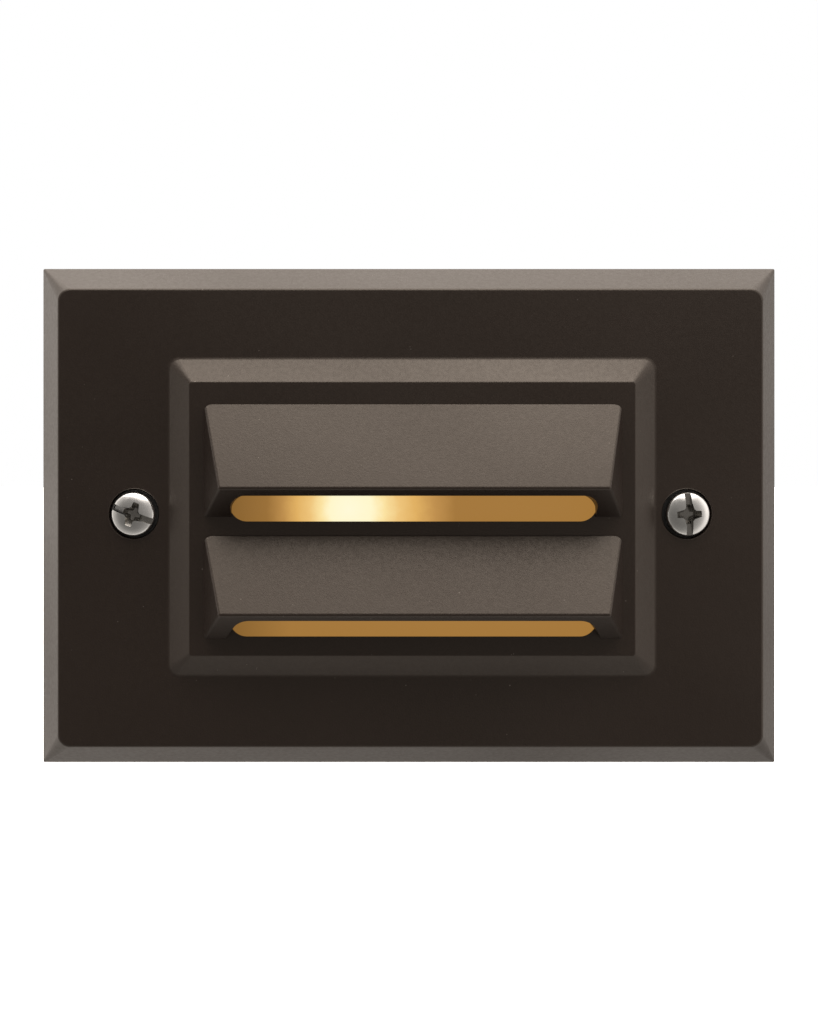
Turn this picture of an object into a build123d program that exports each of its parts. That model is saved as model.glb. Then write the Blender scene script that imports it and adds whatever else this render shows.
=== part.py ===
from build123d import *
import os
from math import asin, cos, hypot, radians, sin, tan

os.makedirs("parts", exist_ok=True)

# Recessed louvred step light. Millimetres, +Z up, the front looks along -Y.
# The origin is the middle of the faceplate on the wall plane: the wall is y = 0,
# the faceplate stands out towards -Y and the box is let into the wall along +Y.
# "h" is a distance out from the wall, so a point at height h has y = -h.

# ---------------------------------------------------------------- faceplate
plate_w, plate_ht = 114.3, 77.1        # outline, 4.5 in wide
rim_t = 1.2                            # upright edge of the rim
outline_r = 0.25
face_h = 7.5                           # flat face, out from the wall
face_w, face_ht, face_r = 106.12, 68.92, 1.9
face_edge_r = 0.5
wall_t = 2.3                           # casting wall behind the face
inner_h = face_h - wall_t              # back of the face

panel_h = 9.9                          # top of the raised panel
base_w, base_ht, base_r = 73.2, 47.7, 1.5      # panel outline on the face
top_w, top_ht, top_r = 66.15, 40.6, 0.45       # panel outline at its top
panel_edge_r = 0.35
panel_foot_r = 1.0
panel_wall = 2.2
louvre_x = 0.2                         # the louvre group sits this far right of centre

lip_h = 15.95                          # lips of the hoods, out from the wall
hood_base_w, hood_lip_w = 62.1, 56.0
hood_x = 0.3
hood_edge_r = 0.45
hood_start = 0.4                       # the slope is cut off here, which leaves a low step
hood_step_r = 0.15
hood_top_r = 1.25                      # its upper corners, seen from the front
hood_wall = 2.2
# top line on the panel, lip, foot line on the panel, slot's top edge, sill in
# the panel, radius of the foot's lower corners
hoods = (
    (17.40, 4.66, 0.29, 3.60, -0.31, 0.3),
    (-2.10, -13.50, -17.74, -14.42, -17.37, 0.9),
)
# slot in each hood's underside: half width at the foot, half width at the tips,
# height of the tips, length of the curve above each tip
tips = (
    (27.0, 26.9, 1.85, 2.4),
    (28.1, 26.5, -15.90, 2.7),
)
slot_x = 0.35
sill_half, sill_r = 27.2, 2.5          # opening in the panel behind the slot
sill_flare = 0.8                       # it widens towards the lens

# ------------------------------------------------------------ faceplate screws
screw_x, screw_z = 41.65, 0.6
recess_r, recess_depth = 3.75, 1.3
screw_hole_r = 1.95
boss_r = 4.3
seal_t = 0.6
head_r, head_t = 3.25, 2.2
shank_r, root_r = 1.75, 1.42           # number 6, 32 threads to the inch
pitch = 0.79375
shank_len = 19.05
slot_w, slot_depth = 0.95, 0.85
left_slot_deg, right_slot_deg = -20.0, 96.0

# ------------------------------------------------------------------ lens group
lens_w, lens_ht, lens_t = 63.0, 38.5, 3.0
lens_gasket_t = 0.8
lens_gasket_in_w, lens_gasket_in_ht = 57.6, 36.4
retainer_w, retainer_ht, retainer_t = 66.0, 51.4, 0.8
retainer_in_w, retainer_in_ht = 56.0, 33.0
clamp_x, clamp_z = 20.0, 23.0
clamp_boss_r, clamp_hole_r, clamp_shank_r = 2.75, 1.28, 1.25

# --------------------------------------------------------------------- housing
flange_w, flange_ht, flange_t, flange_r = 103.0, 66.0, 2.5, 5.0
box_w, box_ht, box_wall, box_r = 81.0, 57.4, 2.5, 7.0
box_depth = 45.0
insert_r, insert_len = 2.3, 10.0
insert_bore_r = 1.8
wall_hole_x, wall_hole_z, wall_hole_r = 47.0, 28.5, 2.2
hub_x, hub_z, hub_r, hub_len = 0.0, -13.0, 10.0, 8.0
hub_bore_r = 6.5
cable_r = 4.0
end_y, end_z, end_boss_r, end_hole_r = 33.0, -13.0, 10.5, 8.0
end_boss_x = 43.5

# ------------------------------------------------------- foam and lens stack, h
gasket_t = 1.3
gasket_h = flange_t                    # foam lies on the flange
rib_h = gasket_h + gasket_t            # ribs of the faceplate press on it
lens_front_h = panel_h - panel_wall - lens_gasket_t
lens_back_h = lens_front_h - lens_t

# ------------------------------------------------------------- tray, lampholder
tray_w, tray_t = 73.2, 0.8
tray_front_y, tray_back_y = 4.0, 22.0
tray_front_ht, tray_back_ht = 44.8, 31.0
posts = ((-12.0, -10.0), (26.0, 8.0))
post_r, post_hole_r = 3.5, 1.28
lamp_y = 11.0                          # lamp axis runs along X here, z = 0
blade_end_x = -29.5
blade_w, blade_t = 9.5, 2.1
bulb_r, bulb_tip_x, glass_t = 7.5, 7.0, 0.8
filament_x, filament_half = -9.5, 2.5
lead_r, lead_z = 0.25, 2.8
holder_x0, holder_x1 = -32.0, -21.0
holder_y0, holder_y1 = 6.0, 16.0
holder_half = 8.0

# ---------------------------------------------------------------------- wiring
wire_r = 0.9
wire_x, wire_z = -33.7, 3.0
nut_a, nut_b = (2.0, 33.0, 12.5), (2.0, 33.0, 1.5)


def at(h):
    """The plane at height h out from the wall, facing the viewer."""
    return Plane.XZ.offset(h)


def behind(y):
    """The plane at depth y inside the wall, facing away from the viewer."""
    return Plane(origin=(0, y, 0), x_dir=(-1, 0, 0), z_dir=(0, 1, 0))


# =============================================================== hood wedges
# Each hood is a wedge: a long slope from the panel down to the lip, an
# underside back to the panel, and two leaning end faces.
end_lean = (hood_base_w - hood_lip_w) / 2
rise = lip_h - panel_h
hood_solids = []
for z_top, z_lip, z_foot, z_slot, z_sill, foot_r in hoods:
    over, under = (z_lip - z_top) / rise, (z_lip - z_foot) / rise
    with BuildPart() as wedge:
        with BuildSketch(Plane.YZ):
            Polygon(
                (-(panel_h - 1.0), z_top - over),
                (-lip_h, z_lip),
                (-(panel_h - 1.0), z_foot - under),
                align=None,
            )
        extrude(amount=40, both=True)
        for side in (1, -1):
            split(
                bisect_by=Plane(
                    origin=(side * hood_base_w / 2, -panel_h, 0),
                    z_dir=(side * rise, -end_lean, 0),
                ),
                keep=Keep.BOTTOM,
            )
        outer = wedge.edges().filter_by(lambda e: e.center().Y < -(panel_h + 1.2))
        fillet(outer, hood_edge_r)
        # seen from the front the corners are round
        with BuildSketch(at(panel_h - 0.9)):
            with Locations((0, (z_top - hood_start + z_foot) / 2)):
                plan = Rectangle(hood_base_w, z_top - hood_start - z_foot)
            fillet(plan.vertices().group_by(Axis.Y)[-1], hood_top_r)
            fillet(plan.vertices().group_by(Axis.Y)[0], foot_r)
        extrude(amount=12, mode=Mode.INTERSECT)
        step = z_top - hood_start
        step_edges = wedge.edges().filter_by_position(Axis.Z, step - 0.02, step + 0.02)
        fillet(step_edges.filter_by(lambda e: e.center().Y < -(panel_h + 0.05)), hood_step_r)
    hood_solids.append(wedge.part.moved(Location((hood_x, 0, 0))))

# ================================================================= faceplate
with BuildPart() as faceplate:
    with BuildSketch(at(0)):
        RectangleRounded(plate_w, plate_ht, outline_r)
    extrude(amount=rim_t)
    # bevel from the sharp outline to the rounded face
    with BuildSketch(at(rim_t)):
        RectangleRounded(plate_w, plate_ht, outline_r)
    with BuildSketch(at(face_h)):
        RectangleRounded(face_w, face_ht, face_r)
    loft(ruled=True)
    fillet(faceplate.edges().group_by(Axis.Y)[0], face_edge_r)
    # raised panel with its own mitred bevel
    with BuildSketch(at(face_h)):
        with Locations((louvre_x, 0.1)):
            RectangleRounded(base_w, base_ht, base_r)
    with BuildSketch(at(panel_h)):
        with Locations((louvre_x, 0.0)):
            RectangleRounded(top_w, top_ht, top_r)
    loft(ruled=True)
    fillet(faceplate.edges().group_by(Axis.Y)[0], panel_edge_r)
    foot = (
        faceplate.edges()
        .filter_by_position(Axis.Y, -face_h - 0.01, -face_h + 0.01)
        .filter_by_position(Axis.X, -37.5, 37.5)
        .filter_by_position(Axis.Z, -24.5, 24.5)
    )
    fillet(foot, panel_foot_r)
    # hoods
    for solid in hood_solids:
        add(solid)
    # slots: an arch through each hood's underside, an opening in the panel
    # behind it, and the hollow under the hood's slope
    for hood, tip in zip(hoods, tips):
        z_top, z_lip, z_foot, z_slot, z_sill, foot_r = hood
        foot_half, tip_half, z_tip, curve = tip
        drop = z_slot - z_tip
        bend = (curve**2 + drop**2) / (2 * drop)
        half_turn = asin(curve / bend) / 2
        mid = (tip_half - curve + bend * sin(half_turn), z_slot - bend + bend * cos(half_turn))
        with BuildSketch(at(panel_h)):
            with BuildLine():
                Line((slot_x - tip_half + curve, z_slot), (slot_x + tip_half - curve, z_slot))
                ThreePointArc(
                    (slot_x + tip_half - curve, z_slot), (slot_x + mid[0], mid[1]), (slot_x + tip_half, z_tip)
                )
                Polyline(
                    (slot_x + tip_half, z_tip),
                    (slot_x + foot_half, z_foot - 0.3),
                    (slot_x - foot_half, z_foot - 0.3),
                    (slot_x - tip_half, z_tip),
                )
                ThreePointArc(
                    (slot_x - tip_half, z_tip), (slot_x - mid[0], mid[1]), (slot_x - tip_half + curve, z_slot)
                )
            make_face()
        extrude(amount=10, mode=Mode.SUBTRACT)
        length = hypot(rise, z_top - z_lip)
        dh, dz = -hood_wall * (z_top - z_lip) / length, -hood_wall * rise / length
        slope = (z_lip - z_top) / rise

        def inner_z(h):
            return z_top + dz + (h - panel_h - dh) * slope

        core_top = inner_z(panel_h) - 0.05
        with BuildSketch(at(panel_h + 0.3)):
            with Locations((slot_x, (z_sill + core_top) / 2)):
                RectangleRounded(2 * sill_half, core_top - z_sill, sill_r)
        with BuildSketch(at(panel_h - 3.2)):
            with Locations((slot_x, (z_sill + core_top) / 2)):
                RectangleRounded(
                    2 * (sill_half + sill_flare), core_top - z_sill + 2 * sill_flare, sill_r + sill_flare
                )
        loft(ruled=True, mode=Mode.SUBTRACT)
        h_slot = panel_h + dh + (z_slot - z_top - dz) / slope
        with BuildSketch(Plane.YZ.offset(slot_x)):
            Polygon(
                (-(panel_h - 0.1), z_slot),
                (-h_slot, z_slot),
                (-(panel_h - 0.1), inner_z(panel_h - 0.1)),
                align=None,
            )
        extrude(amount=24.3, both=True, mode=Mode.SUBTRACT)
    # hollow back
    with BuildSketch(at(0)):
        RectangleRounded(plate_w - 6.2, plate_ht - 6.2, 1.5)
    with BuildSketch(at(inner_h)):
        RectangleRounded(face_w - 4.2, face_ht - 4.2, 1.5)
    loft(ruled=True, mode=Mode.SUBTRACT)
    with BuildSketch(at(inner_h - 0.5)):
        RectangleRounded(67.0, 41.5, 2.2)
    extrude(amount=panel_h - panel_wall - inner_h + 0.5, mode=Mode.SUBTRACT)
    # rib that presses on the foam, its corners cut back for the wall screws
    with BuildSketch(at(rib_h)):
        rib = Rectangle(90.5, 58.0)
        chamfer(rib.vertices(), 8.5)
        rib_in = Rectangle(86.5, 54.4, mode=Mode.SUBTRACT)
    extrude(amount=inner_h - rib_h + 0.3)
    with BuildSketch(at(rib_h)):
        with Locations((-screw_x, screw_z), (screw_x, screw_z)):
            Circle(boss_r)
    extrude(amount=inner_h - rib_h + 0.3)
    with BuildSketch(at(lens_back_h)):
        with GridLocations(2 * clamp_x, 2 * clamp_z, 2, 2):
            Circle(clamp_boss_r)
    extrude(amount=inner_h - lens_back_h + 0.3)
    with BuildSketch(at(lens_back_h - 0.5)):
        with GridLocations(2 * clamp_x, 2 * clamp_z, 2, 2):
            Circle(clamp_hole_r)
    extrude(amount=3.5, mode=Mode.SUBTRACT)
    # counterbored screw holes
    with BuildSketch(at(0)):
        with Locations((-screw_x, screw_z), (screw_x, screw_z)):
            Circle(screw_hole_r)
    extrude(amount=20, mode=Mode.SUBTRACT)
    with BuildSketch(at(face_h - recess_depth)):
        with Locations((-screw_x, screw_z), (screw_x, screw_z)):
            Circle(recess_r)
    extrude(amount=5, mode=Mode.SUBTRACT)
    rims = (
        faceplate.edges()
        .filter_by(GeomType.CIRCLE)
        .filter_by(lambda e: abs(e.radius - recess_r) < 0.01)
        .filter_by_position(Axis.Y, -face_h - 0.01, -face_h + 0.01)
    )
    fillet(rims, 0.25)
faceplate.part.label = "faceplate"
export_step(faceplate.part, "parts/faceplate.step")

# ========================================================== faceplate screws
# Pan head with a combination recess (cross and full-width slot). The thread
# is drawn as rings of the right pitch, because a ring turns like a helix.
seat_h = face_h - recess_depth
under_h = seat_h + seal_t              # underside of the head
crown = 0.75                           # dome above the head's upright edge
tip_h = under_h - shank_len
for name, side, slot_deg in (("screw_left", -1, left_slot_deg), ("screw_right", 1, right_slot_deg)):
    axis_at = Plane(origin=(side * screw_x, 0, screw_z), x_dir=(1, 0, 0), z_dir=(0, 0, 1))
    with BuildPart() as screw:
        with BuildSketch(axis_at):
            with BuildLine():
                side_h = under_h + head_t - crown
                top = under_h + head_t
                Line((0, -top), (0.4, -top))
                ThreePointArc((0.4, -top), (head_r * 0.80, -(side_h + crown * 0.55)), (head_r, -side_h))
                Polyline((head_r, -side_h), (head_r, -under_h), (shank_r, -under_h), (shank_r, -(under_h - 1.0)))
                rings, h = [], under_h - 1.0
                while h - pitch > tip_h + 1.0:
                    rings += [(root_r, -(h - pitch / 2)), (shank_r, -(h - pitch))]
                    h -= pitch
                Polyline((shank_r, -(under_h - 1.0)), *rings, (root_r - 0.25, -tip_h), (0, -tip_h), (0, -top))
            make_face()
        revolve(axis=Axis((side * screw_x, 0, screw_z), (0, 1, 0)))
        # cross recess, deeper in the middle, and the slot across the crown
        with BuildSketch(Plane(origin=(side * screw_x, -(top + 0.1), screw_z), x_dir=(1, 0, 0), z_dir=(0, -1, 0))):
            with Locations(Location((0, 0), slot_deg)):
                Rectangle(4.1, 0.85)
                Rectangle(0.85, 4.1)
        extrude(amount=-1.5, taper=9, mode=Mode.SUBTRACT)
        with BuildSketch(Plane(origin=(side * screw_x, -(top + 0.1), screw_z), x_dir=(1, 0, 0), z_dir=(0, -1, 0))):
            with Locations(Location((0, 0), slot_deg)):
                Rectangle(8.0, slot_w)
        extrude(amount=-(0.1 + slot_depth), mode=Mode.SUBTRACT)
    screw.part.label = name
    export_step(screw.part, "parts/" + name + ".step")
    with BuildPart() as seal:
        with BuildSketch(at(seat_h)):
            with Locations((side * screw_x, screw_z)):
                Circle(recess_r - 0.15)
                Circle(shank_r + 0.05, mode=Mode.SUBTRACT)
        extrude(amount=seal_t)
    seal.part.label = name.replace("screw", "seal_washer")
    export_step(seal.part, "parts/" + seal.part.label + ".step")

# ================================================================ lens group
with BuildPart() as lens_gasket:
    with BuildSketch(at(lens_front_h)):
        RectangleRounded(lens_w, lens_ht, 2.0)
        RectangleRounded(lens_gasket_in_w, lens_gasket_in_ht, 1.5, mode=Mode.SUBTRACT)
    extrude(amount=lens_gasket_t)
lens_gasket.part.label = "lens_gasket"
export_step(lens_gasket.part, "parts/lens_gasket.step")

with BuildPart() as lens:
    with BuildSketch(at(lens_back_h)):
        RectangleRounded(lens_w, lens_ht, 2.0)
    extrude(amount=lens_t)
    chamfer(lens.edges().group_by(Axis.Y)[0] + lens.edges().group_by(Axis.Y)[-1], 0.3)
lens.part.label = "lens"
export_step(lens.part, "parts/lens.step")

with BuildPart() as retainer:
    with BuildSketch(at(lens_back_h - retainer_t)):
        body = Rectangle(retainer_w, retainer_ht)
        chamfer(body.vertices(), 6.0)
        RectangleRounded(retainer_in_w, retainer_in_ht, 1.5, mode=Mode.SUBTRACT)
        with GridLocations(2 * clamp_x, 2 * clamp_z, 2, 2):
            Circle(clamp_shank_r + 0.2, mode=Mode.SUBTRACT)
    extrude(amount=retainer_t)
retainer.part.label = "lens_retainer"
export_step(retainer.part, "parts/lens_retainer.step")

with BuildPart() as clamp_screws:
    head_top = lens_back_h - retainer_t
    with BuildSketch(at(head_top - 1.5)):
        with GridLocations(2 * clamp_x, 2 * clamp_z, 2, 2):
            Circle(2.4)
    extrude(amount=1.5)
    fillet(clamp_screws.edges().group_by(Axis.Y)[-1], 0.6)
    with BuildSketch(at(head_top)):
        with GridLocations(2 * clamp_x, 2 * clamp_z, 2, 2):
            Circle(clamp_shank_r)
    extrude(amount=3.5)
    with BuildSketch(at(head_top - 1.6)):
        with GridLocations(2 * clamp_x, 2 * clamp_z, 2, 2):
            Rectangle(2.8, 0.6)
            Rectangle(0.6, 2.8)
    extrude(amount=1.0, mode=Mode.SUBTRACT)
clamp_screws.part.label = "lens_retainer_screws"
export_step(clamp_screws.part, "parts/lens_retainer_screws.step")

with BuildPart() as foam:
    with BuildSketch(at(gasket_h)):
        ring = Rectangle(92.0, 60.0)
        chamfer(ring.vertices(), 9.0)
        RectangleRounded(77.0, 53.4, 5.0, mode=Mode.SUBTRACT)
        with Locations((-screw_x, screw_z), (screw_x, screw_z)):
            Circle(2.4, mode=Mode.SUBTRACT)
    extrude(amount=gasket_t)
foam.part.label = "faceplate_gasket"
export_step(foam.part, "parts/faceplate_gasket.step")

# =================================================================== housing
with BuildPart() as housing:
    with BuildSketch(at(0)):
        RectangleRounded(flange_w, flange_ht, flange_r)
    extrude(amount=flange_t)
    with BuildSketch(behind(0)):
        RectangleRounded(box_w, box_ht, box_r)
    extrude(amount=box_depth)
    fillet(housing.edges().group_by(Axis.Y)[-1], 2.0)
    # screw bosses beside the box
    with BuildSketch(behind(0)):
        with Locations((-screw_x, screw_z), (screw_x, screw_z)):
            Circle(boss_r)
    extrude(amount=14.5)
    # cable hub behind, closed entry at the right end
    with BuildSketch(behind(box_depth - 1.0)):
        with Locations((-hub_x, hub_z)):
            Circle(hub_r)
    extrude(amount=hub_len + 1.0)
    with BuildSketch(Plane.YZ.offset(box_w / 2 - 1.0)):
        with Locations((end_y, end_z)):
            Circle(end_boss_r)
    extrude(amount=end_boss_x - box_w / 2 + 1.0)
    # the hollow
    with BuildSketch(at(flange_t)):
        RectangleRounded(box_w - 2 * box_wall, box_ht - 2 * box_wall, box_r - box_wall)
    extrude(amount=-(flange_t + box_depth - box_wall), mode=Mode.SUBTRACT)
    # posts for the tray
    with BuildSketch(at(-(tray_back_y + tray_t))):
        with Locations(*posts):
            Circle(post_r)
    extrude(amount=-(box_depth - box_wall - tray_back_y - tray_t + 0.5))
    with BuildSketch(at(-(tray_back_y + tray_t))):
        with Locations(*posts):
            Circle(post_hole_r)
    extrude(amount=-9.0, mode=Mode.SUBTRACT)
    # holes
    with BuildSketch(at(flange_t)):
        with Locations((-screw_x, screw_z), (screw_x, screw_z)):
            Circle(insert_r + 0.02)
    extrude(amount=-insert_len, mode=Mode.SUBTRACT)
    with BuildSketch(at(flange_t)):
        with Locations((-screw_x, screw_z), (screw_x, screw_z)):
            Circle(insert_bore_r + 0.1)
    extrude(amount=-(flange_t + 13.3), mode=Mode.SUBTRACT)
    with BuildSketch(at(flange_t)):
        with GridLocations(2 * wall_hole_x, 2 * wall_hole_z, 2, 2):
            Circle(wall_hole_r)
    extrude(amount=-flange_t, mode=Mode.SUBTRACT)
    with BuildSketch(behind(box_depth + hub_len)):
        with Locations((-hub_x, hub_z)):
            Circle(hub_bore_r)
    extrude(amount=-(hub_len + box_wall + 1.0), mode=Mode.SUBTRACT)
    with BuildSketch(Plane.YZ.offset(end_boss_x)):
        with Locations((end_y, end_z)):
            Circle(end_hole_r)
    extrude(amount=-(end_boss_x - box_w / 2 + box_wall + 1.0), mode=Mode.SUBTRACT)
housing.part.label = "housing"
export_step(housing.part, "parts/housing.step")

with BuildPart() as inserts:
    with BuildSketch(at(flange_t)):
        with Locations((-screw_x, screw_z), (screw_x, screw_z)):
            Circle(insert_r)
            Circle(insert_bore_r, mode=Mode.SUBTRACT)
    extrude(amount=-insert_len)
    chamfer(inserts.edges().group_by(Axis.Y)[-1].filter_by(lambda e: e.radius > 2.0), 0.4)
inserts.part.label = "screw_inserts"
export_step(inserts.part, "parts/screw_inserts.step")

with BuildPart() as grommet:
    with BuildSketch(behind(box_depth - box_wall)):
        with Locations((-hub_x, hub_z)):
            Circle(hub_bore_r - 0.02)
    extrude(amount=hub_len + box_wall)
    with BuildSketch(behind(box_depth + hub_len)):
        with Locations((-hub_x, hub_z)):
            Circle(8.6)
    extrude(amount=2.0)
    fillet(grommet.edges().group_by(Axis.Y)[-1], 0.7)
    with BuildSketch(behind(box_depth - box_wall - 1.5)):
        with Locations((-hub_x, hub_z)):
            Circle(7.4)
    extrude(amount=1.5)
    with BuildSketch(behind(box_depth + hub_len + 2.0)):
        with Locations((-hub_x, hub_z)):
            Circle(cable_r)
    extrude(amount=-30, mode=Mode.SUBTRACT)
grommet.part.label = "cable_grommet"
export_step(grommet.part, "parts/cable_grommet.step")

with BuildPart() as plug_seal:
    with BuildSketch(Plane.YZ.offset(end_boss_x)):
        with Locations((end_y, end_z)):
            Circle(9.7)
            Circle(end_hole_r + 0.1, mode=Mode.SUBTRACT)
    extrude(amount=1.2)
plug_seal.part.label = "plug_seal"
export_step(plug_seal.part, "parts/plug_seal.step")

with BuildPart() as plug:
    with BuildSketch(Plane.YZ.offset(end_boss_x + 1.2)):
        with Locations((end_y, end_z)):
            Circle(10.0)
    extrude(amount=3.4)
    fillet(plug.edges().group_by(Axis.X)[-1], 0.8)
    with BuildSketch(Plane.YZ.offset(end_boss_x + 1.2)):
        with Locations((end_y, end_z)):
            Circle(end_hole_r - 0.03)
    extrude(amount=-7.0)
    chamfer(plug.edges().group_by(Axis.X)[0], 0.6)
    with BuildSketch(Plane.YZ.offset(end_boss_x + 4.6)):
        with Locations((end_y, end_z)):
            Rectangle(14.0, 2.2)
    extrude(amount=-1.8, mode=Mode.SUBTRACT)
    with BuildSketch(Plane.YZ.offset(end_boss_x - 5.8)):
        with Locations((end_y, end_z)):
            Circle(5.5)
    extrude(amount=3.0, mode=Mode.SUBTRACT)
plug.part.label = "closure_plug"
export_step(plug.part, "parts/closure_plug.step")

# ====================================================================== tray
with BuildPart() as tray:
    with BuildSketch(behind(tray_front_y)):
        RectangleRounded(tray_w, tray_front_ht, 1.2)
    with BuildSketch(behind(tray_back_y + tray_t)):
        RectangleRounded(tray_w, tray_back_ht, 1.2)
    loft(ruled=True)
    with BuildSketch(behind(tray_front_y)):
        RectangleRounded(tray_w - 2 * tray_t, tray_front_ht - 2 * tray_t, 0.6)
    with BuildSketch(behind(tray_back_y)):
        RectangleRounded(tray_w - 2 * tray_t, tray_back_ht - 2 * tray_t, 0.6)
    loft(ruled=True, mode=Mode.SUBTRACT)
    with BuildSketch(at(-(tray_back_y - 1.0))):
        with Locations(*posts):
            Circle(1.5)
        with Locations((-28.0, 5.5), (-28.0, -5.5)):
            Circle(1.4)
        with Locations((wire_x, wire_z), (wire_x, -wire_z)):
            Circle(1.5)
    extrude(amount=-3.0, mode=Mode.SUBTRACT)
tray.part.label = "reflector_tray"
export_step(tray.part, "parts/reflector_tray.step")

with BuildPart() as tray_screws:
    with BuildSketch(at(-tray_back_y)):
        with Locations(*posts):
            Circle(2.5)
    extrude(amount=1.7)
    fillet(tray_screws.edges().group_by(Axis.Y)[0], 0.6)
    with BuildSketch(at(-tray_back_y)):
        with Locations(*posts):
            Circle(1.25)
    extrude(amount=-7.5)
    with BuildSketch(at(-tray_back_y + 1.8)):
        with Locations(*posts):
            Rectangle(3.0, 0.65)
            Rectangle(0.65, 3.0)
    extrude(amount=-1.1, mode=Mode.SUBTRACT)
tray_screws.part.label = "tray_screws"
export_step(tray_screws.part, "parts/tray_screws.step")

# ================================================================ lampholder
leaf_front = (8.85, 9.25)              # the two contact leaves, either side of
leaf_back = (12.75, 13.15)             # the lamp's blade
with BuildPart() as holder:
    with Locations(((holder_x0 + holder_x1) / 2, (holder_y0 + holder_y1) / 2, 0)):
        Box(holder_x1 - holder_x0, holder_y1 - holder_y0, 2 * holder_half)
    fillet(holder.edges().filter_by(Axis.X), 1.2)
    with Locations((-27.0, (holder_y1 + tray_back_y) / 2, 0)):
        Box(8.0, tray_back_y - holder_y1, 2 * holder_half - 1.0)
    # mouth for the blade
    with Locations(((-30.7 + holder_x1) / 2, lamp_y, 0)):
        Box(holder_x1 + 30.7, 4.6, 10.4, mode=Mode.SUBTRACT)
    with Locations((holder_x1 - 0.5, lamp_y, 0)):
        Box(1.0, 5.6, 11.4, mode=Mode.SUBTRACT)
    # ways out for the two leaves
    with Locations((-31.0, 9.1, 3.0), (-31.0, 12.9, -3.0)):
        Box(3.0, 0.5, 3.1, mode=Mode.SUBTRACT)
    with BuildSketch(at(-tray_back_y)):
        with Locations((-28.0, 5.5), (-28.0, -5.5)):
            Circle(1.1)
    extrude(amount=5.0, mode=Mode.SUBTRACT)
holder.part.label = "lampholder"
export_step(holder.part, "parts/lampholder.step")

with BuildPart() as holder_screws:
    with BuildSketch(at(-(tray_back_y + tray_t))):
        with Locations((-28.0, 5.5), (-28.0, -5.5)):
            Circle(2.1)
    extrude(amount=-1.5)
    fillet(holder_screws.edges().group_by(Axis.Y)[-1], 0.5)
    with BuildSketch(at(-(tray_back_y + tray_t))):
        with Locations((-28.0, 5.5), (-28.0, -5.5)):
            Circle(1.07)
    extrude(amount=5.2)
    with BuildSketch(at(-(tray_back_y + tray_t + 1.6))):
        with Locations((-28.0, 5.5), (-28.0, -5.5)):
            Rectangle(2.4, 0.55)
            Rectangle(0.55, 2.4)
    extrude(amount=0.9, mode=Mode.SUBTRACT)
holder_screws.part.label = "lampholder_screws"
export_step(holder_screws.part, "parts/lampholder_screws.step")

with BuildPart() as contacts:
    for (y0, y1), z in ((leaf_front, 3.0), (leaf_back, -3.0)):
        with Locations(((-32.8 - 22.6) / 2, (y0 + y1) / 2, z)):
            Box(32.8 - 22.6, y1 - y0, 2.6)
        with Locations((-32.6, (y0 + 20.0) / 2, z)):
            Box(0.4, 20.0 - y0, 2.6)
contacts.part.label = "socket_contacts"
export_step(contacts.part, "parts/socket_contacts.step")

# ====================================================================== lamp
with BuildPart() as glass:
    lamp_plane = Plane(origin=(0, lamp_y, 0), x_dir=(1, 0, 0), z_dir=(0, -1, 0))
    dome_x = bulb_tip_x - bulb_r
    with BuildSketch(lamp_plane):
        with BuildLine():
            Polyline((-18.5, 0), (-18.5, 2.2), (-17.0, 3.4))
            ThreePointArc((-17.0, 3.4), (-14.2, 6.2), (-10.5, bulb_r))
            Line((-10.5, bulb_r), (dome_x, bulb_r))
            RadiusArc((dome_x, bulb_r), (bulb_tip_x, 0), bulb_r)
            Line((bulb_tip_x, 0), (-18.5, 0))
        make_face()
    revolve(axis=Axis((0, lamp_y, 0), (1, 0, 0)))
    with BuildSketch(lamp_plane):
        with BuildLine():
            inner_r = bulb_r - glass_t
            Line((-13.6, 0), (-13.6, 3.6))
            Line((-13.6, 3.6), (-12.4, 5.7))
            Line((-12.4, 5.7), (-10.3, inner_r))
            Line((-10.3, inner_r), (dome_x, inner_r))
            RadiusArc((dome_x, inner_r), (dome_x + inner_r, 0), inner_r)
            Line((dome_x + inner_r, 0), (-13.6, 0))
        make_face()
    revolve(axis=Axis((0, lamp_y, 0), (1, 0, 0)), mode=Mode.SUBTRACT)
    with Locations(((blade_end_x - 16.0) / 2, lamp_y, 0)):
        Box(-16.0 - blade_end_x, blade_t, blade_w)
    # the two leads pass through the pinched glass
    with BuildSketch(Plane.YZ.offset(blade_end_x - 1.0)):
        with Locations((lamp_y, lead_z), (lamp_y, -lead_z)):
            Circle(lead_r + 0.03)
    extrude(amount=-13.0 - blade_end_x + 1.0, mode=Mode.SUBTRACT)
glass.part.label = "lamp_glass"
export_step(glass.part, "parts/lamp_glass.step")

with BuildPart() as filament:
    with BuildSketch(Plane.YZ.offset(filament_x - filament_half)):
        with Locations((lamp_y, 0)):
            Circle(0.55)
            Circle(0.3, mode=Mode.SUBTRACT)
    extrude(amount=2 * filament_half)
filament.part.label = "lamp_filament"
export_step(filament.part, "parts/lamp_filament.step")

# two wires: each holds one end of the filament, runs out through the pinched
# glass and folds back over one face of the blade
f0, f1 = filament_x - filament_half, filament_x + filament_half
lead_paths = (
    (
        (f1 + 0.3, lamp_y, -0.4),
        (f1 + 0.3, lamp_y, lead_z),
        (-30.2, lamp_y, lead_z),
        (-30.2, 9.65, lead_z),
        (-24.0, 9.65, lead_z),
    ),
    (
        (f0 - 0.3, lamp_y, 0.4),
        (f0 - 0.3, lamp_y, -lead_z),
        (-30.2, lamp_y, -lead_z),
        (-30.2, 12.35, -lead_z),
        (-24.0, 12.35, -lead_z),
    ),
)
with BuildPart() as leads:
    for path in lead_paths:
        with BuildLine() as run:
            FilletPolyline(*path, radius=0.45)
        with BuildSketch(Plane(origin=path[0], z_dir=run.line % 0)):
            Circle(lead_r)
        sweep(path=run.line)
leads.part.label = "lamp_leads"
export_step(leads.part, "parts/lamp_leads.step")

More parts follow.
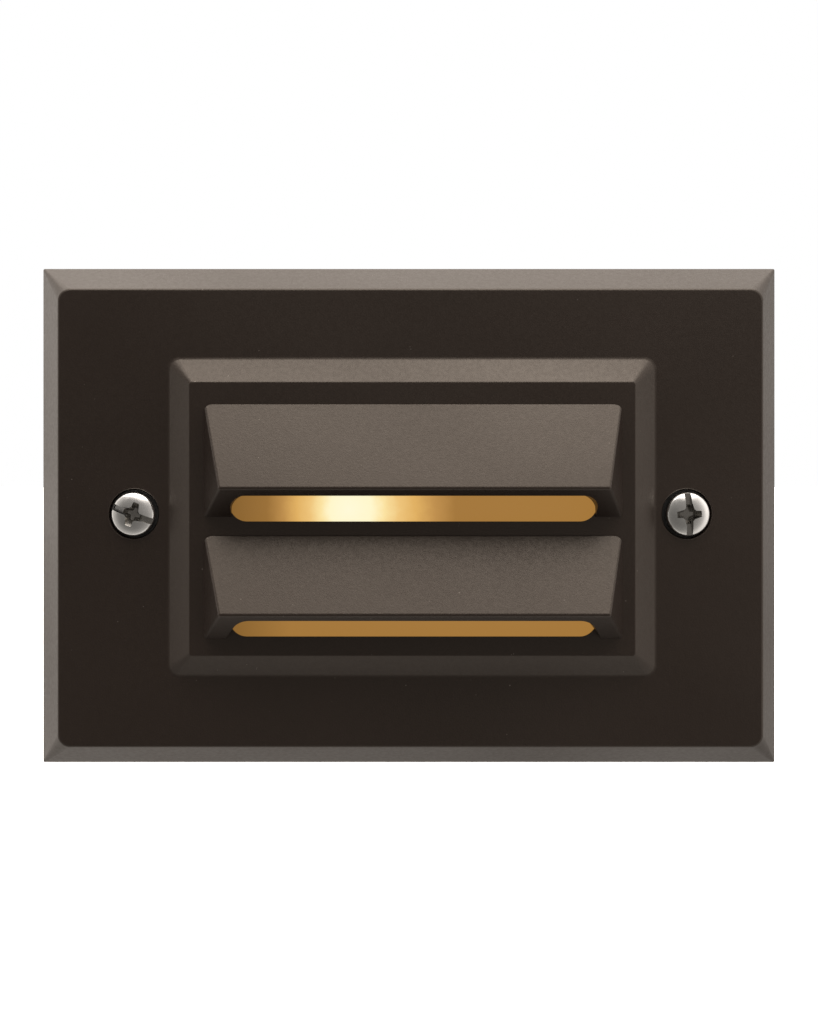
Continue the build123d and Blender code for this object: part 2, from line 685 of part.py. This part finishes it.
# ==================================================================== wiring
wire_routes = {
    "lead_wire_a": ((wire_x, 17.0, wire_z), (wire_x, 33.0, 4.5), (-18.0, 33.5, 12.0), (5.0, 33.0, 11.2)),
    "lead_wire_b": ((wire_x, 17.0, -wire_z), (wire_x, 32.5, -3.6), (-17.0, 34.0, 1.0), (5.0, 33.0, 0.2)),
}


def corner_radii(route):
    """For each corner: 0.45 of the shorter run over the tangent of half the turn."""
    points = [Vector(*p) for p in route]
    out = []
    for a, b, c in zip(points, points[1:], points[2:]):
        turned = (b - a).get_angle(c - b)
        out.append(0.45 * min((b - a).length, (c - b).length) / tan(radians(turned) / 2))
    return out


for name, route in wire_routes.items():
    radii = corner_radii(route)
    with BuildPart() as wire:
        with BuildLine() as run:
            FilletPolyline(*route, radius=radii)
        with BuildSketch(Plane(origin=route[0], z_dir=run.line % 0)):
            Circle(wire_r)
        sweep(path=run.line)
    length = sum(e.length for e in run.line.edges())
    print(name, "radii", [round(r, 1) for r in radii], "length", round(length, 1))
    print("  volume", round(wire.part.volume, 2), "section times length", round(length * 3.14159 * wire_r**2, 2))
    wire.part.label = name
    export_step(wire.part, "parts/" + name + ".step")

with BuildPart() as nuts:
    for x, y, z in (nut_a, nut_b):
        with BuildSketch(Plane(origin=(x, y, z), x_dir=(1, 0, 0), z_dir=(0, -1, 0))):
            with BuildLine():
                Polyline((0, 3.6), (0, 5.0), (1.5, 5.2), (6.0, 5.0), (14.5, 3.4), (16.0, 2.4), (16.0, 0), (11.0, 0), (8.5, 2.2), (0, 3.6))
            make_face()
        revolve(axis=Axis((x, y, z), (1, 0, 0)))
nuts.part.label = "wire_connectors"
export_step(nuts.part, "parts/wire_connectors.step")
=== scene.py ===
import math

import bpy
import bmesh
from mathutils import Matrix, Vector


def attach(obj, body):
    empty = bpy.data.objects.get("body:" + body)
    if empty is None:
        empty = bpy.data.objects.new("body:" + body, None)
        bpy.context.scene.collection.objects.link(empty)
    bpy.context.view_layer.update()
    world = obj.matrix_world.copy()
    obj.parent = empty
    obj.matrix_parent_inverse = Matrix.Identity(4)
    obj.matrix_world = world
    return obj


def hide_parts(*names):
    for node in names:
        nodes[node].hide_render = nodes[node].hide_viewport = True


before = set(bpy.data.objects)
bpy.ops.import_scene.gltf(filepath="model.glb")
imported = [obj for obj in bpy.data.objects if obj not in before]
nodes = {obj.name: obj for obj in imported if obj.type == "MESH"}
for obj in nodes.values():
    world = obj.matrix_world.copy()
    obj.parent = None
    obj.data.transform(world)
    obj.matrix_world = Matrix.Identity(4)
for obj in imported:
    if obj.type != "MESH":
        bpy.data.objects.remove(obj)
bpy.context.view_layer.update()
MM = 0.001
scene = bpy.context.scene
scene.view_settings.view_transform = "Standard"


# ------------------------------------------------------------------- camera
cam_data = bpy.data.cameras.new("camera")
cam = bpy.data.objects.new("camera", cam_data)
scene.collection.objects.link(cam)
scene.camera = cam
cam.location = (-6.09 * MM, -171.2 * MM, 9.70 * MM)
cam.rotation_euler = (math.radians(90), 0, 0)
cam_data.sensor_width = 36.0
cam_data.lens = 36.0 / 1024 * 170.0 / 0.15635
cam_data.shift_x = (409.0 - 370.0) / 1024
cam_data.shift_y = -(512.0 - 453.5) / 1024
cam_data.clip_start = 0.01
cam_data.clip_end = 20.0


# ------------------------------------------------------------ node helpers
class Mat:
    """A small helper that builds a node tree for one material."""

    def __init__(self, name):
        self.mat = bpy.data.materials.new(name)
        self.mat.use_nodes = True
        self.tree = self.mat.node_tree
        self.n = self.tree.nodes
        self.bsdf = self.n["Principled BSDF"]
        self.out = self.n["Material Output"]

    def add(self, kind, **props):
        node = self.n.new(kind)
        for key, value in props.items():
            setattr(node, key, value)
        return node

    def link(self, a, b):
        self.tree.links.new(a, b)

    def put(self, target, value):
        if isinstance(value, bpy.types.NodeSocket):
            self.link(value, target)
        elif value is not None:
            target.default_value = value

    def coords(self, scale=(1, 1, 1), rotate=(0, 0, 0), offset=(0, 0, 0)):
        tc = self.add("ShaderNodeTexCoord")
        mp = self.add("ShaderNodeMapping")
        mp.inputs["Scale"].default_value = scale
        mp.inputs["Rotation"].default_value = rotate
        mp.inputs["Location"].default_value = offset
        self.link(tc.outputs["Object"], mp.inputs["Vector"])
        return mp.outputs["Vector"]

    def noise(self, scale, vector=None, detail=3.0, rough=0.55, dist=0.0):
        t = self.add("ShaderNodeTexNoise")
        t.inputs["Scale"].default_value = scale
        t.inputs["Detail"].default_value = detail
        t.inputs["Roughness"].default_value = rough
        t.inputs["Distortion"].default_value = dist
        self.link(vector if vector is not None else self.coords(), t.inputs["Vector"])
        return t.outputs["Fac"]

    def voronoi(self, scale, vector=None, feature="F1", randomness=1.0):
        t = self.add("ShaderNodeTexVoronoi", feature=feature)
        t.inputs["Scale"].default_value = scale
        t.inputs["Randomness"].default_value = randomness
        self.link(vector if vector is not None else self.coords(), t.inputs["Vector"])
        return t

    def ramp(self, fac, stops, mode="LINEAR"):
        r = self.add("ShaderNodeValToRGB")
        r.color_ramp.interpolation = mode
        el = r.color_ramp.elements
        while len(el) > 1:
            el.remove(el[-1])
        el[0].position, el[0].color = stops[0][0], rgba(stops[0][1])
        for p, c in stops[1:]:
            e = el.new(p)
            e.color = rgba(c)
        self.put(r.inputs["Fac"], fac)
        return r.outputs["Color"]

    def map(self, value, a, b, c, d, clamp=True):
        m = self.add("ShaderNodeMapRange", clamp=clamp)
        self.put(m.inputs["Value"], value)
        for i, v in zip((1, 2, 3, 4), (a, b, c, d)):
            m.inputs[i].default_value = v
        return m.outputs["Result"]

    def math(self, op, a, b=None, c=None):
        m = self.add("ShaderNodeMath", operation=op)
        for i, v in enumerate((a, b, c)):
            if v is not None:
                self.put(m.inputs[i], v)
        return m.outputs[0]

    def mix(self, fac, a, b, kind="MIX"):
        m = self.add("ShaderNodeMix", data_type="RGBA", blend_type=kind)
        self.put(m.inputs[0], fac)
        self.put(m.inputs[6], rgba(a) if not isinstance(a, bpy.types.NodeSocket) else a)
        self.put(m.inputs[7], rgba(b) if not isinstance(b, bpy.types.NodeSocket) else b)
        return m.outputs[2]

    def bump(self, height, strength, distance, normal=None):
        b = self.add("ShaderNodeBump")
        b.inputs["Strength"].default_value = strength
        b.inputs["Distance"].default_value = distance
        self.put(b.inputs["Height"], height)
        if normal is not None:
            self.link(normal, b.inputs["Normal"])
        return b.outputs["Normal"]

    def set(self, **values):
        for key, value in values.items():
            self.put(self.bsdf.inputs[key.replace("_", " ")], value)
        return self


def rgba(c):
    if isinstance(c, (int, float)):
        return (c, c, c, 1.0)
    return (*c, 1.0) if len(c) == 3 else tuple(c)


# --------------------------------------------------------------- materials
def powder_coat(name, dark, light, rough=(0.39, 0.45), grain=0.35, specks=True, spec=0.8):
    """Baked powder: a fine pebbled skin, slightly uneven in tone, with a few specks of dust."""
    m = Mat(name)
    where = m.coords()
    fine = m.noise(5200.0, where, 2.0, 0.6)
    pebble = m.voronoi(3600.0, where, "SMOOTH_F1").outputs["Distance"]
    broad = m.noise(28.0, where, 3.0, 0.5)
    tone = m.math("ADD", m.math("MULTIPLY", fine, 0.6), m.math("MULTIPLY", broad, 0.4))
    colour = m.mix(m.map(tone, 0.35, 0.65, 0.0, 1.0), dark, light)
    if specks:
        for scale, size, offset, low in ((620.0, 0.075, 3.1, 0.655), (1250.0, 0.11, 7.7, 0.665)):
            dust = m.voronoi(scale, where, "F1")
            dot = m.map(dust.outputs["Distance"], size * 0.5, size, 1.0, 0.0)
            keep = m.map(m.noise(scale * 0.45, m.coords(offset=(offset, 1.7, 0.4)), 1.0, 0.5), low, low + 0.02, 0.0, 1.0)
            colour = m.mix(m.math("MULTIPLY", dot, keep), colour, (0.17, 0.15, 0.135))
    height = m.math("ADD", m.math("MULTIPLY", pebble, 0.6), m.math("MULTIPLY", fine, 0.6))
    m.set(
        Base_Color=colour,
        Roughness=m.math(
            "ADD",
            m.map(m.noise(1700.0, where, 2.0), 0.35, 0.65, rough[0], rough[1]),
            m.map(m.noise(16.0, m.coords(scale=(1, 1, 1.7), rotate=(0, 0.5, 0)), 2.0, 0.5, 0.6), 0.3, 0.7, -0.05, 0.05),
        ),
        Normal=m.bump(height, grain, 0.035 * MM),
    )
    m.set(Specular_IOR_Level=spec, Specular_Tint=(1.0, 0.90, 0.80, 1.0))
    return m.mat


def simple(name, colour, rough, metal=0.0, grain_scale=900.0, grain=0.2, depth=0.03 * MM, spread=0.12, ior=None):
    m = Mat(name)
    where = m.coords()
    n1 = m.noise(grain_scale, where, 3.0)
    n2 = m.noise(60.0, where, 3.0)
    dark = tuple(v * (1 - spread) for v in colour)
    light = tuple(min(1.0, v * (1 + spread)) for v in colour)
    m.set(
        Base_Color=m.mix(m.map(n2, 0.35, 0.65, 0.0, 1.0), dark, light),
        Roughness=m.map(n1, 0.3, 0.7, rough * 0.85, min(1.0, rough * 1.15)),
        Normal=m.bump(n1, grain, depth),
    )
    m.set(Metallic=metal)
    if ior:
        m.set(IOR=ior)
    return m.mat


M = {}
M["bronze"] = powder_coat("bronze_powder_coat", (0.0150, 0.0090, 0.0067), (0.0225, 0.0140, 0.0110))
M["box"] = powder_coat("box_coat", (0.030, 0.028, 0.026), (0.044, 0.041, 0.038), (0.5, 0.65), 0.8, False, 0.5)
M["steel"] = simple("polished_steel", (0.92, 0.94, 0.92), 0.23, 1.0, 1400.0, 0.12)
# a darker steel for the faces of the cross recess and slot: painted shade in the recess
M["steel_recess"] = simple("steel_with_painted_shade", (0.40, 0.39, 0.37), 0.28, 1.0, 1600.0, 0.4)
M["zinc"] = simple("zinc_plate", (0.60, 0.62, 0.64), 0.32, 1.0, 1400.0, 0.1)
M["spring"] = simple("stainless_sheet", (0.56, 0.56, 0.55), 0.38, 1.0, 1100.0, 0.1)
M["rubber"] = simple("black_rubber", (0.018, 0.018, 0.018), 0.62, 0.0, 1500.0, 0.35)
M["silicone"] = simple("milky_silicone", (0.72, 0.70, 0.66), 0.45, 0.0, 900.0, 0.1)
M["foam"] = simple("closed_cell_foam", (0.035, 0.035, 0.036), 0.92, 0.0, 1700.0, 0.9, 0.12 * MM)
M["brass"] = simple("turned_brass", (0.72, 0.50, 0.22), 0.28, 1.0, 1200.0, 0.1)
M["white"] = simple("reflector_white", (0.82, 0.81, 0.77), 0.35, 0.0, 1100.0, 0.25)
M["ceramic"] = simple("glazed_ceramic", (0.83, 0.79, 0.70), 0.18, 0.0, 300.0, 0.1)
M["bronze_spring"] = simple("phosphor_bronze", (0.68, 0.44, 0.24), 0.30, 1.0, 1200.0, 0.1)
M["wire_black"] = simple("wire_black", (0.02, 0.02, 0.02), 0.42, 0.0, 900.0, 0.15)
M["wire_white"] = simple("wire_white", (0.78, 0.77, 0.74), 0.42, 0.0, 900.0, 0.15)
M["nut"] = simple("nut_orange", (0.72, 0.22, 0.03), 0.45, 0.0, 1500.0, 0.3)
M["plug"] = simple("black_nylon", (0.03, 0.03, 0.03), 0.5, 0.0, 1500.0, 0.4)
M["nickel"] = simple("nickel_wire", (0.64, 0.62, 0.58), 0.25, 1.0)


def lens_glass():
    """Frosted glass with a painted glow in its emission, standing in for the lamp's light through it: brightest in
    front of the filament.
    """
    m = Mat("frosted_glass_painted_glow")
    tc = m.add("ShaderNodeTexCoord")
    sep = m.add("ShaderNodeSeparateXYZ")
    m.link(tc.outputs["Object"], sep.inputs[0])
    # painted glow: the emission colour falls off with distance from the point in front of the filament
    dx = m.math("SUBTRACT", sep.outputs["X"], -9.4 * MM)
    dx = m.math("MULTIPLY", dx, m.map(dx, -0.5 * MM, 0.5 * MM, 1.22, 0.92))
    dz = m.math("SUBTRACT", sep.outputs["Z"], 1.3 * MM)
    r = m.math("SQRT", m.math("ADD", m.math("MULTIPLY", dx, dx), m.math("MULTIPLY", dz, dz)))
    frost = m.noise(700.0, m.coords(), 3.0, 0.6)
    r = m.math("ADD", r, m.map(frost, 0.3, 0.7, -0.25 * MM, 0.25 * MM))
    colour = m.ramp(
        m.map(r, 0.0, 40 * MM, 0.0, 1.0),
        [
            (0.0, (1.0, 0.94, 0.68)),
            (0.085, (1.0, 0.92, 0.60)),
            (0.125, (0.96, 0.76, 0.36)),
            (0.18, (0.84, 0.54, 0.19)),
            (0.235, (0.74, 0.43, 0.12)),
            (0.30, (0.52, 0.275, 0.075)),
            (0.375, (0.365, 0.182, 0.043)),
            (1.0, (0.370, 0.184, 0.043)),
        ],
    )
    # painted shade: the glow is painted darker towards the lens's left end
    left = m.map(sep.outputs["X"], -27 * MM, -18 * MM, 0.66, 1.0)
    colour = m.mix(1.0, colour, m.ramp(left, [(0.0, 0.0), (1.0, 1.0)]), "MULTIPLY")
    m.set(
        Base_Color=m.ramp(frost, [(0.3, (0.05, 0.038, 0.024)), (0.7, (0.07, 0.052, 0.034))]),
        Roughness=m.map(frost, 0.3, 0.7, 0.45, 0.6),
        Emission_Color=colour,
        Normal=m.bump(frost, 0.15, 0.02 * MM),
    )
    m.set(Emission_Strength=1.0)
    return m.mat


M["lens"] = lens_glass()


def clear_glass():
    m = Mat("clear_glass")
    m.set(Base_Color=(0.97, 0.97, 0.96, 1.0), Roughness=0.02, Transmission_Weight=1.0, IOR=1.5)
    return m.mat


M["glass"] = clear_glass()


def lit_wire():
    m = Mat("lit_tungsten")
    m.set(Base_Color=(0.4, 0.3, 0.2, 1.0), Emission_Color=(1.0, 0.62, 0.25, 1.0))
    m.set(Emission_Strength=30.0)
    return m.mat


M["lit"] = lit_wire()

USE = {
    "faceplate": "bronze", "housing": "box", "screw_left": "steel", "screw_right": "steel",
    "seal_washer_left": "rubber", "seal_washer_right": "rubber", "lens_gasket": "silicone", "lens": "lens",
    "lens_retainer": "spring", "lens_retainer_screws": "zinc", "faceplate_gasket": "foam", "screw_inserts": "brass",
    "cable_grommet": "rubber", "plug_seal": "rubber", "closure_plug": "plug", "reflector_tray": "white",
    "tray_screws": "zinc", "lampholder": "ceramic", "lampholder_screws": "zinc", "socket_contacts": "bronze_spring",
    "lamp_glass": "glass", "lamp_filament": "lit", "lamp_leads": "nickel", "lead_wire_a": "wire_black",
    "lead_wire_b": "wire_white", "wire_connectors": "nut",
}
for node, key in USE.items():
    obj = nodes[node]
    obj.data.materials.clear()
    obj.data.materials.append(M[key])


# ------------------------------------------------------------ detail pieces
def finish_mesh(name, verts, faces, mat, sharp=38):
    mesh = bpy.data.meshes.new(name)
    mesh.from_pydata([tuple(v) for v in verts], [], faces)
    bm = bmesh.new()
    bm.from_mesh(mesh)
    bmesh.ops.remove_doubles(bm, verts=bm.verts, dist=1e-7)
    bmesh.ops.recalc_face_normals(bm, faces=bm.faces)
    bm.to_mesh(mesh)
    bm.free()
    for poly in mesh.polygons:
        poly.use_smooth = True
    mesh.set_sharp_from_angle(angle=math.radians(sharp))
    obj = bpy.data.objects.new(name, mesh)
    scene.collection.objects.link(obj)
    if mat:
        mesh.materials.append(mat)
    return obj


def turned(name, profile, place, segments=96, radius_at=None, mat=None, sharp=38):
    """A turned form. profile: (radius, along) pairs; place maps (along, across, up) to the frame."""
    verts, faces = [], []
    for r, a in profile:
        for k in range(segments):
            t = 2 * math.pi * k / segments
            rr = radius_at(r, a, t) if radius_at else r
            verts.append(place(a, rr * math.cos(t), rr * math.sin(t)))
    for i in range(len(profile) - 1):
        for k in range(segments):
            k2 = (k + 1) % segments
            faces.append((i * segments + k, i * segments + k2, (i + 1) * segments + k2, (i + 1) * segments + k))
    return finish_mesh(name, verts, faces, mat, sharp)


def baked(obj):
    """The object's mesh with its modifiers applied."""
    deps = bpy.context.evaluated_depsgraph_get()
    mesh = bpy.data.meshes.new_from_object(obj.evaluated_get(deps))
    obj.modifiers.clear()
    old, obj.data = obj.data, mesh
    bpy.data.meshes.remove(old)
    return obj


def prism(name, outline, top, bottom, taper, place):
    """A cutter: outline at top, the same scaled by taper at bottom."""
    n = len(outline)
    verts = [place(top, x, z) for x, z in outline] + [place(bottom, x * taper, z * taper) for x, z in outline]
    faces = [tuple(range(n)), tuple(range(2 * n - 1, n - 1, -1))]
    faces += [(k, (k + 1) % n, n + (k + 1) % n, n + k) for k in range(n)]
    return finish_mesh(name, verts, faces, None)


SCREW_X, SCREW_Z = 41.65, 0.6
UNDER, HEAD_T, HEAD_R, PITCH, TIP = 6.8, 2.2, 3.24, 0.79375, 6.8 - 19.05


def screw(name, side, slot_deg):
    cx, cz = side * SCREW_X, SCREW_Z
    turn = math.radians(slot_deg)

    def place(h, x, z):
        return ((cx + x * math.cos(turn) - z * math.sin(turn)) * MM, -h * MM, (cz + x * math.sin(turn) + z * math.cos(turn)) * MM)

    top = UNDER + HEAD_T
    dome = [(HEAD_R * f, top - 0.02 - 0.80 * f ** 2.8) for f in (0.0003, 0.12, 0.24, 0.36, 0.48, 0.58, 0.68, 0.76, 0.84, 0.90, 0.95)]
    shoulder = [(HEAD_R - 0.04, top - 0.86), (HEAD_R, top - 1.02), (HEAD_R, UNDER + 0.16), (HEAD_R - 0.12, UNDER + 0.02), (1.0, UNDER + 0.02), (1.0, UNDER - 0.5), (0.0003, UNDER - 0.5)]
    head = turned(name + "_piece", dome + shoulder, place, 96, mat=M["steel"])
    arm, wide = 2.05, 0.50
    quarter = [(arm, -wide), (arm, wide), (1.10, wide + 0.03), (0.80, 0.80)]
    cross = []
    for k in range(4):
        c, d = math.cos(math.pi / 2 * k), math.sin(math.pi / 2 * k)
        cross += [(x * c - z * d, x * d + z * c) for x, z in quarter]
    cutters = [
        prism(name + "_cross", cross, top + 0.2, top - 1.75, 0.46, place),
        prism(name + "_slot", [(-4, -0.48), (4, -0.48), (4, 0.48), (-4, 0.48)], top + 0.2, top - 0.80, 0.98, place),
    ]
    for cutter in cutters:
        mod = head.modifiers.new("cut", "BOOLEAN")
        mod.operation = "DIFFERENCE"
        mod.solver = "EXACT"
        mod.material_mode = "TRANSFER"
        mod.object = cutter
        # the cutters' faces left in the head take the darker steel: painted shade in the recess
        cutter.data.materials.clear()
        cutter.data.materials.append(M["steel_recess"])
    bev = head.modifiers.new("edge", "BEVEL")
    bev.width = 0.07 * MM
    bev.segments = 2
    bev.limit_method = "ANGLE"
    bev.angle_limit = math.radians(40)
    baked(head)
    for cutter in cutters:
        bpy.data.objects.remove(cutter)
    for poly in head.data.polygons:
        poly.use_smooth = True
    head.data.set_sharp_from_angle(angle=math.radians(32))
    # the threaded shank: one long right-hand helix, running out at both ends
    start, rows, seg = UNDER + 0.02, 230, 40
    verts, faces = [], []
    for i in range(rows + 1):
        h = start + (TIP - start) * i / rows
        for k in range(seg):
            t = 2 * math.pi * k / seg
            phase = (h / PITCH - t / (2 * math.pi)) % 1.0
            ridge = max(0.0, 1.0 - abs(phase - 0.5) * 2.25)
            fade = min(1.0, max(0.0, (start - 0.6 - h) / 0.8)) * min(1.0, max(0.0, (h - TIP - 0.2) / 0.9))
            core = 1.42 if h < start - 0.5 else 1.55
            if h < TIP + 0.8:
                core -= 0.22 * (TIP + 0.8 - h) / 0.8
            r = core + (1.745 - 1.42) * min(1.0, ridge * 1.3) * fade
            verts.append(place(h, r * math.cos(t), r * math.sin(t)))
    for i in range(rows):
        for k in range(seg):
            k2 = (k + 1) % seg
            faces.append((i * seg + k, i * seg + k2, (i + 1) * seg + k2, (i + 1) * seg + k))
    faces.append(tuple(range(rows * seg, rows * seg + seg)))
    shank = finish_mesh(name + "_shank_piece", verts, faces, M["steel"], 50)
    for piece in (head, shank):
        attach(piece, name)
    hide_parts(name)
    return head, shank


screw("screw_left", -1, -21.0)
screw("screw_right", 1, 93.0)


def tube(name, points, radius, mat, seg=8):
    """A round wire through the given points."""
    points = [Vector(p) for p in points]
    verts, faces = [], []
    side = None
    for i, p in enumerate(points):
        ahead = (points[min(i + 1, len(points) - 1)] - points[max(i - 1, 0)]).normalized()
        side = (ahead.orthogonal() if side is None else side - ahead * side.dot(ahead)).normalized()
        other = ahead.cross(side)
        for k in range(seg):
            t = 2 * math.pi * k / seg
            verts.append(p + (side * math.cos(t) + other * math.sin(t)) * radius)
    for i in range(len(points) - 1):
        for k in range(seg):
            k2 = (k + 1) % seg
            faces.append((i * seg + k, i * seg + k2, (i + 1) * seg + k2, (i + 1) * seg + k))
    faces += [tuple(range(seg - 1, -1, -1)), tuple(range(len(verts) - seg, len(verts)))]
    return finish_mesh(name, verts, faces, mat, 60)


# the filament: a close coil between its two supports
coil = []
for i in range(15 * 18 + 1):
    t = 2 * math.pi * i / 18
    x = -11.95 + 4.9 * i / (15 * 18)
    coil.append((x * MM, (11.0 + 0.44 * math.cos(t)) * MM, 0.44 * math.sin(t) * MM))
filament = tube("filament_coil", coil, 0.085 * MM, M["lit"])
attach(filament, "lamp")
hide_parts("lamp_filament")

# the twist-on connectors: fluted caps with a rolled mouth
caps = []
for k, (x0, y0, z0) in enumerate(((2.0, 33.0, 12.5), (2.0, 33.0, 1.5))):
    outer = [(3.62, 0.05), (4.2, 0.02), (4.85, 0.1), (5.12, 0.5), (5.15, 1.4), (4.98, 2.0)]
    outer += [(4.98 - 1.55 * (a - 2.0) / 12.5, a) for a in [2.0 + 0.5 * j for j in range(1, 26)]]
    outer += [(3.1, 15.1), (2.6, 15.7), (1.6, 15.97), (0.001, 15.98)]
    inner = [(0.001, 11.0), (1.2, 9.8), (2.2, 8.5), (2.6, 6.2), (3.1, 3.2), (3.55, 0.3), (3.62, 0.05)]

    def flute(r, a, t):
        if r > 2.9 and 1.9 < a < 15.0:
            ease = min(1.0, (a - 1.9) / 1.2) * min(1.0, (15.0 - a) / 1.0)
            return r * (1.0 - 0.055 * ease * (0.5 + 0.5 * math.cos(14 * t)) ** 2)
        return r

    caps.append(
        turned(
            "connector_cap_" + "ab"[k],
            inner + outer,
            lambda a, u, v, c=(x0, y0, z0): ((c[0] + a) * MM, (c[1] + u) * MM, (c[2] + v) * MM),
            112,
            flute,
            M["nut"],
            50,
        )
    )
for cap in caps:
    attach(cap, "housing")
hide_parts("wire_connectors")


# ------------------------------------------------------------- floor, light
def add_floor(z):
    bm = bmesh.new()
    bmesh.ops.create_grid(bm, x_segments=8, y_segments=8, size=4.0)
    mesh = bpy.data.meshes.new("floor")
    bm.to_mesh(mesh)
    bm.free()
    floor = bpy.data.objects.new("floor", mesh)
    floor.location = (0, 0, z)
    floor.visible_glossy = False       # its place in reflections is taken by the studio's lower half
    floor.visible_diffuse = False
    floor.visible_transmission = False
    scene.collection.objects.link(floor)
    m = Mat("pale_floor")
    m.set(Base_Color=(0.86, 0.86, 0.86, 1.0), Roughness=0.6, Emission_Color=(1.0, 1.0, 1.0, 1.0))
    m.set(Emission_Strength=0.7)
    m.bsdf.inputs["Specular IOR Level"].default_value = 0.2
    mesh.materials.append(m.mat)
    return floor


add_floor(-0.12)

world = bpy.data.worlds.new("studio")
scene.world = world
world.use_nodes = True
wt = world.node_tree
for n in list(wt.nodes):
    wt.nodes.remove(n)
wout = wt.nodes.new("ShaderNodeOutputWorld")
bg_light = wt.nodes.new("ShaderNodeBackground")
bg_seen = wt.nodes.new("ShaderNodeBackground")
bg_seen.inputs["Color"].default_value = (1, 1, 1, 1)
bg_seen.inputs["Strength"].default_value = 1.0
lp = wt.nodes.new("ShaderNodeLightPath")
wmix = wt.nodes.new("ShaderNodeMixShader")
wt.links.new(lp.outputs["Is Camera Ray"], wmix.inputs[0])
wt.links.new(bg_light.outputs[0], wmix.inputs[1])
wt.links.new(bg_seen.outputs[0], wmix.inputs[2])
wt.links.new(wmix.outputs[0], wout.inputs["Surface"])
# the studio: a bright white sweep behind and beside the object, a long box
# light above, and a dim camera side
wtc = wt.nodes.new("ShaderNodeTexCoord")
wsep = wt.nodes.new("ShaderNodeSeparateXYZ")
wt.links.new(wtc.outputs["Generated"], wsep.inputs[0])


def wmath(op, a, b=None):
    node = wt.nodes.new("ShaderNodeMath")
    node.operation = op
    for i, v in enumerate((a, b)):
        if v is None:
            continue
        if isinstance(v, bpy.types.NodeSocket):
            wt.links.new(v, node.inputs[i])
        else:
            node.inputs[i].default_value = v
    return node.outputs[0]


def wsmooth(value, a, b, c, d):
    node = wt.nodes.new("ShaderNodeMapRange")
    node.interpolation_type = "SMOOTHSTEP"
    wt.links.new(value, node.inputs["Value"])
    for name, v in zip(("From Min", "From Max", "To Min", "To Max"), (a, b, c, d)):
        node.inputs[name].default_value = v
    return node.outputs["Result"]


front = wsmooth(wsep.outputs["Y"], -0.98, -0.20, 0.28, 0.85)
side_front = wsmooth(wsep.outputs["X"], -0.9, 0.9, 0.75, 1.50)
side_back = wsmooth(wsep.outputs["X"], -0.9, 0.9, 1.75, 0.85)
behind = wsmooth(wsep.outputs["Y"], -0.35, 0.10, 0.0, 1.0)
sides = wmath("ADD", wmath("MULTIPLY", side_front, wmath("SUBTRACT", 1.0, behind)), wmath("MULTIPLY", side_back, behind))
height = wsmooth(wsep.outputs["Z"], -0.75, 0.55, 0.62, 1.0)
base = wmath("MULTIPLY", wmath("MULTIPLY", front, sides), height)
# the key light: a wide soft ceiling, cut off sharply towards the front, and a smaller soft box to the right
ceiling = wmath("MULTIPLY", wsmooth(wsep.outputs["Z"], 0.70, 0.82, 0.0, 1.0), wsmooth(wsep.outputs["Y"], -0.38, 0.10, 1.0, 0.45))
key = wt.nodes.new("ShaderNodeVectorMath")
key.operation = "DOT_PRODUCT"
wt.links.new(wtc.outputs["Generated"], key.inputs[0])
key.inputs[1].default_value = Vector((0.22, -0.52, 0.82)).normalized()
box = wmath("ADD", ceiling, wmath("MULTIPLY", wsmooth(key.outputs["Value"], 0.91, 0.97, 0.0, 1.0), 0.36))
# low in front, under the key light, the studio is dark
low_front = wsmooth(wsep.outputs["Y"], -0.62, -0.40, 0.66, 1.0)
back_right = wmath("MULTIPLY", wmath("MULTIPLY", behind, wsmooth(wsep.outputs["X"], -0.2, 0.6, 0.0, 1.0)), wsmooth(wsep.outputs["Z"], -0.2, 0.7, 0.15, 1.0))
lit = wmath("ADD", wmath("MULTIPLY", base, low_front), wmath("MULTIPLY", back_right, 0.45))
total = wmath("ADD", lit, wmath("MULTIPLY", box, 2.6))
wt.links.new(total, bg_light.inputs["Strength"])
bg_light.inputs["Color"].default_value = (1.0, 0.93, 0.86, 1.0)
